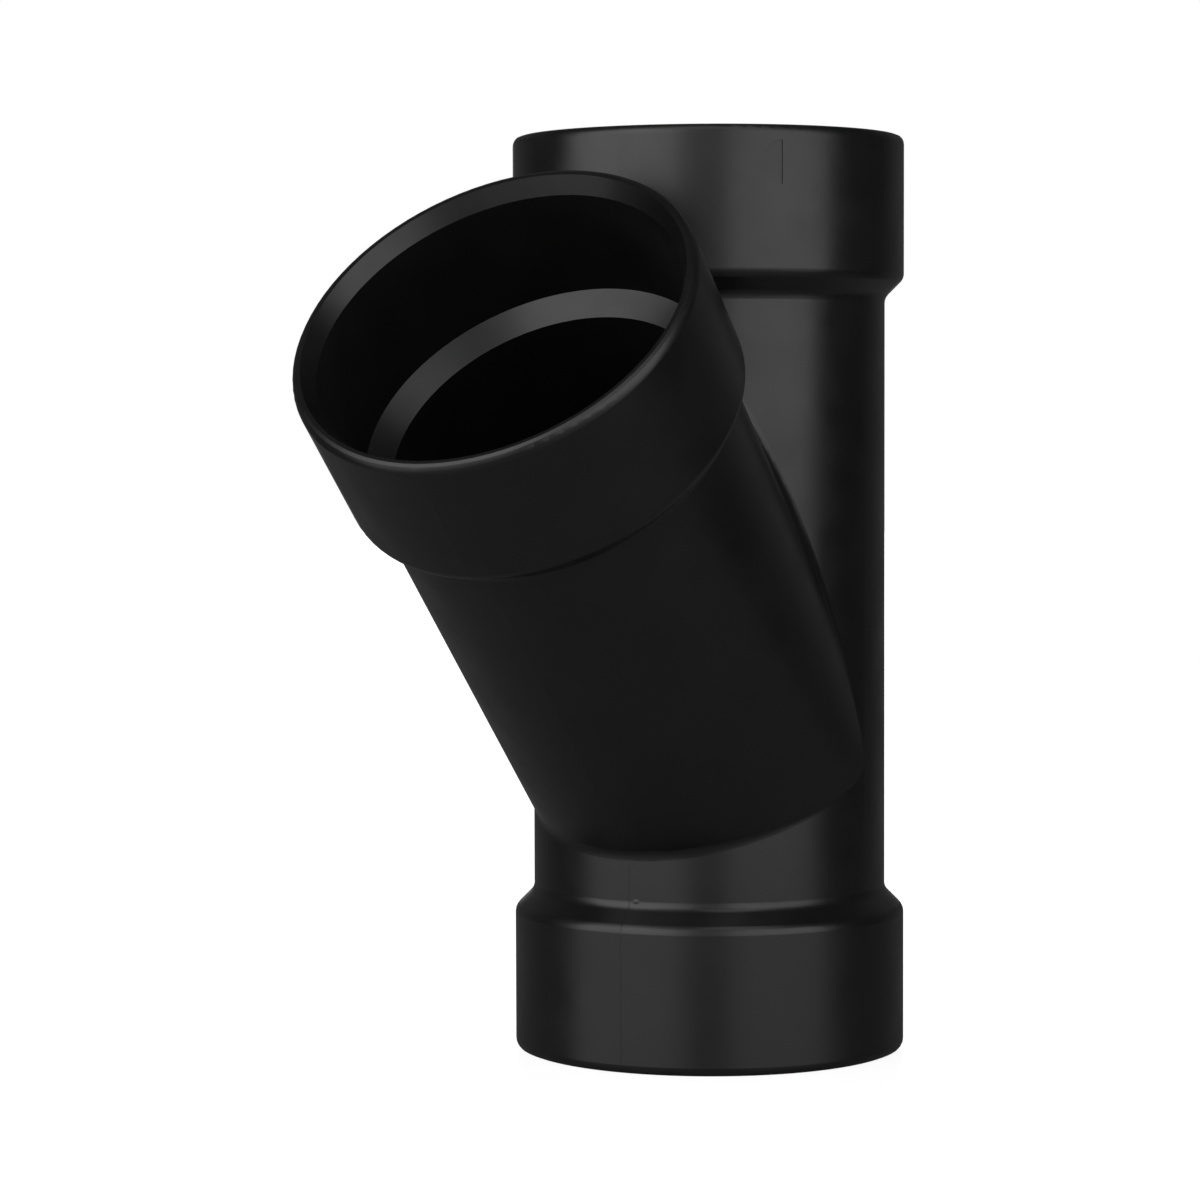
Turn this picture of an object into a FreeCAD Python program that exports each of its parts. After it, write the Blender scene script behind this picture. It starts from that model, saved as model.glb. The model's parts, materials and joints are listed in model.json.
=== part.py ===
import FreeCAD, Part
import math
import os
from FreeCAD import Vector

# A 45 degree wye for 4 inch drain pipe, moulded in one piece.
# The run stands on +Z with its lower rim on the plane Z = 0, and the branch leans towards +X.
# All sizes are in millimetres.

# The pipe that the three sockets take
pipe_radius = 57.15
pipe_wall = 6.35            # the run's waterway is as wide as the pipe's bore
pipe_clearance = 0.1        # slip round the pipe in its socket
socket_depth = 44.45

# Walls of the fitting
barrel_wall = 6.5           # round a waterway
hub_wall = 6.25             # round a socket
branch_slimmer = 0.15       # branch's radii under the run's, so that the two walls meet in one line

# Branch, and the plain stretches of barrel that set how long the legs are
branch_angle = 45.0         # between the two axes, in degrees
plain_above = 0.67          # from the end of the blend in the crotch to the shoulder of a hub above it
plain_below = 12.37         # from the end of the blend at the heel to the shoulder of the lower hub

# Pipe stop: a cone that narrows the socket to the waterway
stop_cone_length = 5.8

# Shoulder outside, where a hub drops to its barrel
hub_overrun = 1.55          # hub carried past the pipe stop before the shoulder starts
shoulder_slope = 45.0       # degrees from the leg's axis
shoulder_rounding = 4.0

# Rim of each hub: rounded outside, then a slant, a flat land, and a bevel that leads the pipe in
rim_rounding = 3.2
rim_turn = 48.0             # of the rounding, in degrees from the hub's side
rim_slant = 1.1             # width of the slant
rim_slant_fall = 21.0       # degrees down from the land
rim_land = 1.2
lead_in_depth = 5.6

# Blend where the branch meets the run
junction_fillet = 4.8

# Moulding mark: a half-round pocket with a flat floor, on the upper hub
mark_radius = 6.8
mark_below_rim = 11.7       # to its middle
mark_edge_turn = 47.3       # of its upright edge from +X towards +Y, in degrees
mark_floor_turn = 39.5      # of the way its floor faces, likewise
mark_depth = 0.45           # at its upright edge

# Radii that follow from these
socket_radius = pipe_radius + pipe_clearance
hub_radius = socket_radius + hub_wall
waterway_radius = pipe_radius - pipe_wall
branch_waterway_radius = waterway_radius - branch_slimmer
run_radius = waterway_radius + barrel_wall
branch_radius = branch_waterway_radius + barrel_wall

# Rim, from where the hub's side ends to the edge of the land
rounding_turn = math.radians(rim_turn)
slant_fall = math.radians(rim_slant_fall)
rim_drop = rim_rounding * math.sin(rounding_turn) + rim_slant * math.sin(slant_fall)
rim_width = rim_rounding * (1 - math.cos(rounding_turn)) + rim_slant * math.cos(slant_fall)

# Distances along a leg, from the point where the two axes cross
branch_turn = math.radians(branch_angle)
shoulder_turn = math.radians(shoulder_slope)
crotch_end = (run_radius + junction_fillet) / math.tan(branch_turn / 2)    # blend's end in the crotch
heel_end = (run_radius + junction_fillet) * math.tan(branch_turn / 2)      # blend's end at the heel
foot_length = shoulder_rounding * math.tan(shoulder_turn / 2)
shoulder_run = (hub_radius - run_radius) / math.tan(shoulder_turn)
upper_hub = crotch_end + plain_above + foot_length + shoulder_run
lower_hub = heel_end + plain_below + foot_length + shoulder_run
hub_length = hub_overrun + socket_depth
upper_reach = upper_hub + hub_length
lower_reach = lower_hub + hub_length
branch_reach = upper_reach

crossing = Vector(0, 0, lower_reach)
up = Vector(0, 0, 1)
down = Vector(0, 0, -1)
branch_way = Vector(math.sin(branch_turn), 0, math.cos(branch_turn))


def corner_rounding(before, corner, after, radius):
    """Arc of the given radius that rounds a profile's corner, tangent to both of its sides."""
    back = (before - corner).normalize()
    ahead = (after - corner).normalize()
    half_turn = back.getAngle(ahead) / 2
    start = corner + back * (radius / math.tan(half_turn))
    end = corner + ahead * (radius / math.tan(half_turn))
    inward = (back + ahead).normalize()
    middle = corner + inward * (radius / math.sin(half_turn) - radius)
    return Part.Arc(start, middle, end).toShape()


def profile_point(radius, height):
    """Point of a leg's half section: radius from its axis, height from the crossing towards its mouth."""
    return Vector(radius, 0, height)


def spin(edges, way):
    """Solid of revolution from a half section, set with its axis through the crossing along way."""
    outline = Part.Wire(Part.__sortEdges__(edges))
    solid = Part.Face(outline).revolve(Vector(0, 0, 0), up, 360)
    turn = FreeCAD.Rotation(up, way)
    solid.Placement = FreeCAD.Placement(crossing, turn)
    return solid


def leg_outside(barrel_radius, reach, way):
    """Barrel, shoulder, hub and rounded rim of one leg, solid right to its axis."""
    hub_start = reach - hub_length
    shoulder_start = hub_start - (hub_radius - barrel_radius) / math.tan(shoulder_turn)

    axis_start = profile_point(0, 0)
    barrel_start = profile_point(barrel_radius, 0)
    barrel_end = profile_point(barrel_radius, shoulder_start)
    hub_corner = profile_point(hub_radius, hub_start)
    rim_start = profile_point(hub_radius, reach - rim_drop)
    land_edge = profile_point(hub_radius - rim_width, reach)
    axis_end = profile_point(0, reach)

    foot = corner_rounding(barrel_start, barrel_end, hub_corner, shoulder_rounding)
    brow = corner_rounding(barrel_end, hub_corner, rim_start, shoulder_rounding)
    rim_centre = rim_start - profile_point(rim_rounding, 0)
    half_way = profile_point(math.cos(rounding_turn / 2), math.sin(rounding_turn / 2))
    rim_middle = rim_centre + half_way * rim_rounding
    rim_end = rim_centre + profile_point(math.cos(rounding_turn), math.sin(rounding_turn)) * rim_rounding
    rim = Part.Arc(rim_start, rim_middle, rim_end).toShape()

    edges = [
        Part.makeLine(axis_start, barrel_start),
        Part.makeLine(barrel_start, foot.firstVertex().Point),
        foot,
        Part.makeLine(foot.lastVertex().Point, brow.firstVertex().Point),
        brow,
        Part.makeLine(brow.lastVertex().Point, rim_start),
        rim,
        Part.makeLine(rim_end, land_edge),
        Part.makeLine(land_edge, axis_end),
        Part.makeLine(axis_end, axis_start),
    ]
    return spin(edges, way)


def leg_inside(bore_radius, reach, way):
    """Hollow of one leg: waterway, conical pipe stop, socket and the bevel at its mouth."""
    stop = reach - socket_depth
    land_inside = hub_radius - rim_width - rim_land
    bevel_slope = (land_inside - socket_radius) / lead_in_depth
    past_rim = 2.0      # the hollow's form runs on so far, so that it cuts the rim cleanly
    corners = [
        profile_point(0, 0),
        profile_point(bore_radius, 0),
        profile_point(bore_radius, stop - stop_cone_length),
        profile_point(socket_radius, stop),
        profile_point(socket_radius, reach - lead_in_depth),
        profile_point(land_inside + bevel_slope * past_rim, reach + past_rim),
        profile_point(0, reach + past_rim),
    ]
    edges = [Part.makeLine(a, b) for a, b in zip(corners, corners[1:] + corners[:1])]
    return spin(edges, way)


def in_junction(edge):
    """True where an edge lies both on the run's wall and on the branch's, so that the two meet along it."""
    fit = 0.01
    for step in (0.1, 0.5, 0.9):
        place = edge.valueAt(edge.FirstParameter + step * (edge.LastParameter - edge.FirstParameter))
        from_crossing = place - crossing
        off_run = from_crossing.cross(up).Length
        off_branch = from_crossing.cross(branch_way).Length
        if abs(off_run - run_radius) > fit or abs(off_branch - branch_radius) > fit:
            return False
    return True


def outside():
    """Whole outside of the wye, with the branch blended into the run."""
    upper = leg_outside(run_radius, upper_reach, up)
    lower = leg_outside(run_radius, lower_reach, down)
    branch = leg_outside(branch_radius, branch_reach, branch_way)
    whole = upper.fuse(lower).fuse(branch).removeSplitter()
    junction = [edge for edge in whole.Edges if in_junction(edge)]
    return whole.makeFillet(junction_fillet, junction)


def hollow():
    """The three waterways and sockets, joined."""
    upper = leg_inside(waterway_radius, upper_reach, up)
    lower = leg_inside(waterway_radius, lower_reach, down)
    branch = leg_inside(branch_waterway_radius, branch_reach, branch_way)
    return upper.fuse(lower).fuse(branch).removeSplitter()


def moulding_mark():
    """Form of the half-round pocket, which runs out through the upper hub's surface."""
    floor_turn = math.radians(mark_floor_turn)
    edge_turn = math.radians(mark_edge_turn - mark_floor_turn)
    outward = Vector(math.cos(floor_turn), math.sin(floor_turn), 0)
    along = Vector(-math.sin(floor_turn), math.cos(floor_turn), 0)
    floor = hub_radius * math.cos(edge_turn) - mark_depth
    middle = outward * floor + along * (hub_radius * math.sin(edge_turn))
    middle = middle + up * (lower_reach + upper_reach - mark_below_rim)
    top = middle + up * mark_radius
    arc_side = middle - along * mark_radius
    bottom = middle - up * mark_radius
    outline = Part.Wire([Part.Arc(top, arc_side, bottom).toShape(), Part.makeLine(bottom, top)])
    past_surface = 5.0      # the pocket's form runs on so far
    return Part.Face(outline).extrude(outward * past_surface)


def wye_body():
    """The moulded wye."""
    return outside().cut(hollow()).cut(moulding_mark()).removeSplitter()


os.makedirs("parts", exist_ok=True)
wye_body().exportStep("parts/wye_body.step")
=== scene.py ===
import bmesh
import bpy
import json
import math
from mathutils import Matrix, Vector
from mathutils.bvhtree import BVHTree


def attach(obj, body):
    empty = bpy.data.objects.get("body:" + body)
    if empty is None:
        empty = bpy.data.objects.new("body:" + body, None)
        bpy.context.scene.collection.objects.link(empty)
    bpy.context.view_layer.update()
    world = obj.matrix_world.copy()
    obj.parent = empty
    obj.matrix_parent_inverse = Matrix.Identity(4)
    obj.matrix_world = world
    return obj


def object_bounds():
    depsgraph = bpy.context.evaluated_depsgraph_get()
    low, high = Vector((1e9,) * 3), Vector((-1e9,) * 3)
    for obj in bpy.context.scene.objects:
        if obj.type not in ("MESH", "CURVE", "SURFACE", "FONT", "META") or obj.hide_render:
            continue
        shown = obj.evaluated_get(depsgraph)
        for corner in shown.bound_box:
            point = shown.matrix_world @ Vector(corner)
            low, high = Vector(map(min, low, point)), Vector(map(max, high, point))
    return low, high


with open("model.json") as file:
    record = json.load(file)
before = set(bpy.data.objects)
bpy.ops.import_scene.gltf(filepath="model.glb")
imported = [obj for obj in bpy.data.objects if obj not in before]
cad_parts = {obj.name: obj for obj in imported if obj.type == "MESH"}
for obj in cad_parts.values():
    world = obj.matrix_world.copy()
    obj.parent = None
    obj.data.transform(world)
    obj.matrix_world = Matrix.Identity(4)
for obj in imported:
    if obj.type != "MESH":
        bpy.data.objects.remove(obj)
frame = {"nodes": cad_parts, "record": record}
cad_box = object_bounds()
up = Vector((0, 0, 1))
forward = Vector((1, 0, 0))     # the side that the branch leans to
across = Vector((0, 1, 0))      # square to the plane of the axes

# The camera, as the photograph was taken. Lengths are in metres throughout, unless a comment says otherwise.
camera_place = Vector((1.1125, 0.5427, 0.2080))
camera_heading = 117.65     # degrees, 0 looks along +Y and 90 looks along -X
camera_pitch = 2.861        # degrees below level
camera_roll = -0.173        # degrees
focal_length = 113.71       # mm
sensor_width = 36.0         # mm
sight_end = 50.0

# The stage: a white sheet under the object, carried on behind it as a backdrop
sheet_width = 0.9
sheet_before = 0.9          # from the run's axis towards the camera
sheet_behind = 6.0          # and away from it
sheet_tone = 0.20
sheet_sheen = 0.5           # specular level: near its grazing angle the sheet mirrors the lamps
sheet_roughness = 0.25
sheet_seen = 0.90           # how white the camera sees it near the object, before the light on it is added
backdrop_start = 1.1        # behind the run's axis, where gloss too begins to see it white
backdrop_full = 3.3         # and where both see it fully white

# The surroundings. Their angles are from straight behind the object, in degrees.
white = (1.0, 1.0, 1.0, 1.0)
world_light = 0.20          # what they give a matt surface, where a white sheet would give 1
backdrop_spread = 10.0      # angle out to which gloss sees the white backdrop
backdrop_edge = 8.0         # angle over which it fades
glow_spread = 50.0          # likewise for the faint glow round the backdrop
glow_edge = 30.0
glow_tone = 0.09
room_tone = 0.03            # the rest of the room, as gloss sees it

# The lamps: soft boxes that face the run's axis. Each has its turn from the camera towards the picture's
# right in degrees, the level distance and the height of its middle, its width and height, how far it leans
# over the object in degrees, and its brightness, where 1 is a white sheet's.
softboxes = {
    "right_high": (40, 1.4, 0.675, 1.62, 1.25, 0, 1.8),
    "right_low": (40, 1.4, -0.25, 1.62, 0.60, 0, 0.75),
    "left_high": (-52, 1.4, 0.85, 1.88, 1.50, 0, 2.3),
    "left_low": (-50, 1.4, -0.20, 2.03, 0.60, 0, 0.80),
    "front_fill": (-6, 1.8, 0.55, 1.10, 1.70, 0, 0.45),
    "overhead": (-8, 0.87, 1.49, 2.20, 0.71, 57, 1.25),
}

# The plastic
plastic_black = 0.0034
plastic_bloom = 0.0050      # where its skin is a shade paler
plastic_specular = 0.45     # on a scale where 0.5 is a bare smooth plastic
plastic_smooth = 0.275      # roughness where its skin is smoothest
plastic_dull = 0.365        # and where it is dullest
cloud_scale = 38            # clouds in its tone, to the metre
cloud_detail = 4
flow_scale = 55             # patches in its roughness, likewise
flow_detail = 2
pit_scale = 1400            # fine pits of its skin, likewise
pit_detail = 2
pit_depth = 0.000007
noise_low = 0.3             # where a noise's usual range starts
noise_high = 0.7            # and ends

# The parting line: a fine ridge, left by the mould's two halves, in the plane of the axes.
# Its section is a low arch of five points.
line_width = 0.0006
line_height = 0.00005
line_root = 0.00006         # how far its edges go into the body
line_shares = (-1, -0.5, 0, 0.5, 1)     # where the points are, in half widths from the middle
line_lifts = (-line_root, 0.7 * line_height, line_height, 0.7 * line_height, -line_root)
line_step = 0.0005          # from one section to the next
line_fade = 0.0015          # length over which each end sinks into the body
outside_hub = cad_box[1][1] + 0.0025    # a radius just outside the hubs
short_of_rim = 0.0010       # the line stops so far from a rim, on its rounding
heel_below_crossing = 0.0250    # the line ends there, where the blend into the branch starts

# A low nub beside the line, at the foot of the lower shoulder: a lens sunk into the body
nub_width = 0.0045          # of the whole lens
nub_depth = 0.0020
nub_proud = 0.00014         # the part of its depth that shows
nub_below_crossing = 0.0383
nub_beside_line = 0.0023
nub_segments = 48
nub_rings = 32


def side_of_camera(turn):
    """Level direction from the object, turned by so many degrees from the camera's to the picture's right."""
    heading = math.radians(camera_heading - 90 + turn)
    return Vector((math.cos(heading), math.sin(heading), 0))


def add_camera():
    """Camera at the photograph's place and angle."""
    heading = math.radians(camera_heading)
    pitch = math.radians(camera_pitch)
    roll = math.radians(camera_roll)
    right = Vector((math.cos(heading), math.sin(heading), 0))
    level = Vector((-math.sin(heading), math.cos(heading), 0))
    ahead = level * math.cos(pitch) - up * math.sin(pitch)
    above = level * math.sin(pitch) + up * math.cos(pitch)
    sideways = right * math.cos(roll) + above * math.sin(roll)
    above = above * math.cos(roll) - right * math.sin(roll)
    data = bpy.data.cameras.new("photo_camera")
    data.lens = focal_length
    data.sensor_width = sensor_width
    data.clip_end = sight_end
    camera = bpy.data.objects.new("photo_camera", data)
    turn = Matrix((sideways, above, -ahead)).transposed()
    camera.matrix_world = Matrix.Translation(camera_place) @ turn.to_4x4()
    bpy.context.collection.objects.link(camera)
    bpy.context.scene.camera = camera


def add_softbox(name, turn, distance, height, width, tall, lean, brightness):
    """Soft light that faces the run's axis, or leans over it."""
    data = bpy.data.lights.new(name, "AREA")
    data.shape = "RECTANGLE"
    data.size = width
    data.size_y = tall
    data.energy = brightness * width * tall * math.pi
    lamp = bpy.data.objects.new(name, data)
    outward = side_of_camera(turn)
    facing = -outward * math.cos(math.radians(lean)) - up * math.sin(math.radians(lean))
    lamp.location = outward * distance + up * height
    lamp.rotation_euler = facing.to_track_quat("-Z", "Y").to_euler()
    bpy.context.collection.objects.link(lamp)


def combined(nodes, links, operation, first, second):
    """Two values put together by a maths node."""
    maths = nodes.new("ShaderNodeMath")
    maths.operation = operation
    links.new(first, maths.inputs[0])
    links.new(second, maths.inputs[1])
    return maths.outputs[0]


def reach_along(nodes, links, vector, direction):
    """How far a vector reaches along a direction."""
    product = nodes.new("ShaderNodeVectorMath")
    product.operation = "DOT_PRODUCT"
    product.inputs[1].default_value = direction
    links.new(vector, product.inputs[0])
    return product.outputs["Value"]


def spread(nodes, links, value, start, end, low, high, form="LINEAR"):
    """The value's stretch from start to end, spread from low to high."""
    stretch = nodes.new("ShaderNodeMapRange")
    stretch.interpolation_type = form
    stretch.inputs["From Min"].default_value = start
    stretch.inputs["From Max"].default_value = end
    stretch.inputs["To Min"].default_value = low
    stretch.inputs["To Max"].default_value = high
    links.new(value, stretch.inputs["Value"])
    return stretch.outputs["Result"]


def noise(nodes, links, place, scale, detail):
    """Noise over the given coordinates, with so many features to the metre."""
    texture = nodes.new("ShaderNodeTexNoise")
    texture.inputs["Scale"].default_value = scale
    texture.inputs["Detail"].default_value = detail
    links.new(place, texture.inputs["Vector"])
    return texture.outputs["Fac"]


def seen_directly(nodes, links):
    """1 for camera, glossy and transmission rays, and 0 for the rays that light a matt surface."""
    path = nodes.new("ShaderNodeLightPath").outputs
    camera_or_gloss = combined(nodes, links, "MAXIMUM", path["Is Camera Ray"], path["Is Glossy Ray"])
    return combined(nodes, links, "MAXIMUM", camera_or_gloss, path["Is Transmission Ray"])


def white_sheet():
    """Smooth white sheet that keeps a faint shadow. Gloss sees it white only far behind the object."""
    material = bpy.data.materials.new("white_sheet")
    material.use_nodes = True
    nodes = material.node_tree.nodes
    links = material.node_tree.links
    surface = nodes["Principled BSDF"]
    surface.inputs["Base Color"].default_value = (sheet_tone, sheet_tone, sheet_tone, 1)
    surface.inputs["Roughness"].default_value = sheet_roughness
    surface.inputs["Specular IOR Level"].default_value = sheet_sheen

    place = nodes.new("ShaderNodeNewGeometry").outputs["Position"]
    distance = reach_along(nodes, links, place, side_of_camera(180))
    backdrop = spread(nodes, links, distance, backdrop_start, backdrop_full, 0, 1, "SMOOTHSTEP")
    whiteness = spread(nodes, links, backdrop, 0, 1, sheet_seen, 1)
    camera_ray = nodes.new("ShaderNodeLightPath").outputs["Is Camera Ray"]
    to_camera = combined(nodes, links, "MULTIPLY", whiteness, camera_ray)
    in_gloss = combined(nodes, links, "MULTIPLY", backdrop, seen_directly(nodes, links))

    glow = nodes.new("ShaderNodeEmission")
    glow.inputs["Color"].default_value = white
    links.new(combined(nodes, links, "MAXIMUM", to_camera, in_gloss), glow.inputs["Strength"])
    look = nodes.new("ShaderNodeAddShader")
    links.new(glow.outputs[0], look.inputs[0])
    links.new(surface.outputs[0], look.inputs[1])
    links.new(look.outputs[0], nodes["Material Output"].inputs["Surface"])
    return material


def add_sheet():
    """White sheet that the object stands on."""
    sideways = side_of_camera(90) * (sheet_width / 2)
    before = side_of_camera(0) * sheet_before
    behind = side_of_camera(180) * sheet_behind
    mesh = bpy.data.meshes.new("sheet")
    corners = [before - sideways, before + sideways, behind + sideways, behind - sideways]
    mesh.from_pydata(corners, [], [(0, 1, 2, 3)])
    mesh.materials.append(white_sheet())
    sheet = bpy.data.objects.new("sheet", mesh)
    bpy.context.collection.objects.link(sheet)


def behind_object(nodes, links, cosine, angle, edge, outer, inner):
    """The inner level out to an angle from straight behind the object, and the outer one beyond its edge."""
    end = math.cos(math.radians(angle + edge / 2))
    start = math.cos(math.radians(angle - edge / 2))
    return spread(nodes, links, cosine, end, start, outer, inner, "SMOOTHSTEP")


def set_world():
    """White to the camera. Gloss sees a white backdrop behind the object, and a dark room round the rest."""
    world = bpy.data.worlds.new("studio")
    bpy.context.scene.world = world
    world.use_nodes = True
    nodes = world.node_tree.nodes
    links = world.node_tree.links
    soft = nodes["Background"]
    soft.inputs["Color"].default_value = white
    soft.inputs["Strength"].default_value = world_light

    direction = nodes.new("ShaderNodeTexCoord").outputs["Generated"]
    cosine = reach_along(nodes, links, direction, side_of_camera(180))
    glow = behind_object(nodes, links, cosine, glow_spread, glow_edge, room_tone, glow_tone)
    backdrop = behind_object(nodes, links, cosine, backdrop_spread, backdrop_edge, 0, 1)
    in_gloss = combined(nodes, links, "MAXIMUM", glow, backdrop)
    camera_ray = nodes.new("ShaderNodeLightPath").outputs["Is Camera Ray"]

    seen = nodes.new("ShaderNodeBackground")
    seen.inputs["Color"].default_value = white
    links.new(combined(nodes, links, "MAXIMUM", in_gloss, camera_ray), seen.inputs["Strength"])
    mix = nodes.new("ShaderNodeMixShader")
    links.new(seen_directly(nodes, links), mix.inputs["Fac"])
    links.new(soft.outputs[0], mix.inputs[1])
    links.new(seen.outputs[0], mix.inputs[2])
    links.new(mix.outputs[0], nodes["World Output"].inputs["Surface"])


def moulded_plastic():
    """Black plastic with the satin skin that a mould leaves: a little cloudy, and very finely pitted."""
    material = bpy.data.materials.new("moulded_plastic")
    material.use_nodes = True
    nodes = material.node_tree.nodes
    links = material.node_tree.links
    shader = nodes["Principled BSDF"]
    shader.inputs["Specular IOR Level"].default_value = plastic_specular

    place = nodes.new("ShaderNodeTexCoord").outputs["Object"]
    tone = nodes.new("ShaderNodeMix")
    tone.data_type = "RGBA"
    tone.inputs["A"].default_value = (plastic_black, plastic_black, plastic_black, 1)
    tone.inputs["B"].default_value = (plastic_bloom, plastic_bloom, plastic_bloom, 1)
    clouds = noise(nodes, links, place, cloud_scale, cloud_detail)
    links.new(spread(nodes, links, clouds, noise_low, noise_high, 0, 1), tone.inputs["Factor"])
    links.new(tone.outputs["Result"], shader.inputs["Base Color"])

    flow = noise(nodes, links, place, flow_scale, flow_detail)
    roughness = spread(nodes, links, flow, noise_low, noise_high, plastic_smooth, plastic_dull)
    links.new(roughness, shader.inputs["Roughness"])

    pits = noise(nodes, links, place, pit_scale, pit_detail)
    bump = nodes.new("ShaderNodeBump")
    bump.inputs["Distance"].default_value = pit_depth
    links.new(pits, bump.inputs["Height"])
    links.new(bump.outputs["Normal"], shader.inputs["Normal"])
    return material


def mount_place(name):
    """Place and axis of one of the frame's mounts."""
    mount = next(one for one in frame["record"]["mounts"] if one["name"] == name)
    return Vector(mount["pos_m"]), Vector(mount["axis"])


def lay_ridge(tree, vertices, faces, side, start, end):
    """Lays a ridge up one side of the run, from one height to another, where level lines meet the body."""
    count = math.ceil((end - start) / line_step)
    rows = []
    for step in range(count + 1):
        height = start + (end - start) * step / count
        outside = up * height + side * outside_hub
        places = [outside + across * (share * line_width / 2) for share in line_shares]
        rows.append([tree.ray_cast(place, -side)[0] for place in places])
    wide = len(line_shares)
    middles = [row[wide // 2] for row in rows]
    distances = [0.0]
    for here, following in zip(middles, middles[1:]):
        distances.append(distances[-1] + (following - here).length)
    first = len(vertices)
    for index, row in enumerate(rows):
        ahead = middles[min(index + 1, count)] - middles[max(index - 1, 0)]
        outward = across.cross(ahead).normalized()
        if outward.dot(side) < 0:
            outward = -outward
        from_end = min(distances[index], distances[-1] - distances[index])
        shown = min(1.0, from_end / line_fade)
        for point, lift in zip(row, line_lifts):
            vertices.append(point + outward * (lift * shown - line_root * (1 - shown)))
    for row in range(count):
        for column in range(wide - 1):
            corner = first + row * wide + column
            faces.append((corner, corner + 1, corner + wide + 1, corner + wide))


def add_piece(mesh):
    """Smooth piece of the object's own plastic that goes with the body."""
    mesh.materials.append(plastic)
    mesh.shade_smooth()
    piece = bpy.data.objects.new(mesh.name, mesh)
    bpy.context.collection.objects.link(piece)
    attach(piece, "root")


def add_parting_line(tree):
    """The parting line on the run: up the lower leg to the branch, and all the way up the back."""
    vertices = []
    faces = []
    lay_ridge(tree, vertices, faces, forward, short_of_rim, crossing.z - heel_below_crossing)
    lay_ridge(tree, vertices, faces, -forward, short_of_rim, cad_box[1][2] - short_of_rim)
    line = bpy.data.meshes.new("parting_line")
    line.from_pydata(vertices, [], faces)
    add_piece(line)


def add_nub(tree):
    """Low rounded nub at the foot of the lower shoulder."""
    outside = crossing - up * nub_below_crossing + forward * outside_hub + across * nub_beside_line
    surface, outward = tree.ray_cast(outside, -forward)[:2]
    middle = surface - outward * (nub_depth / 2 - nub_proud)
    facing = outward.to_track_quat("Z", "Y").to_matrix().to_4x4()
    size = Matrix.Diagonal((nub_width, nub_width, nub_depth, 1))
    lens = bmesh.new()
    bmesh.ops.create_uvsphere(lens, u_segments=nub_segments, v_segments=nub_rings, radius=0.5)
    bmesh.ops.transform(lens, matrix=Matrix.Translation(middle) @ facing @ size, verts=lens.verts)
    nub = bpy.data.meshes.new("foot_nub")
    lens.to_mesh(nub)
    lens.free()
    add_piece(nub)


add_camera()
add_sheet()
set_world()
for name, measures in softboxes.items():
    add_softbox(name, *measures)

plastic = moulded_plastic()
wye_body = frame["nodes"]["wye_body"]
for slot in wye_body.material_slots:
    slot.material = plastic
branch_mouth, branch_way = mount_place("branch_socket")
crossing = branch_mouth - branch_way * (branch_mouth.x / branch_way.x)
corners = [wye_body.matrix_world @ vertex.co for vertex in wye_body.data.vertices]
body_tree = BVHTree.FromPolygons(corners, [tuple(polygon.vertices) for polygon in wye_body.data.polygons])
add_parting_line(body_tree)
add_nub(body_tree)
bpy.context.scene.view_settings.view_transform = "Standard"
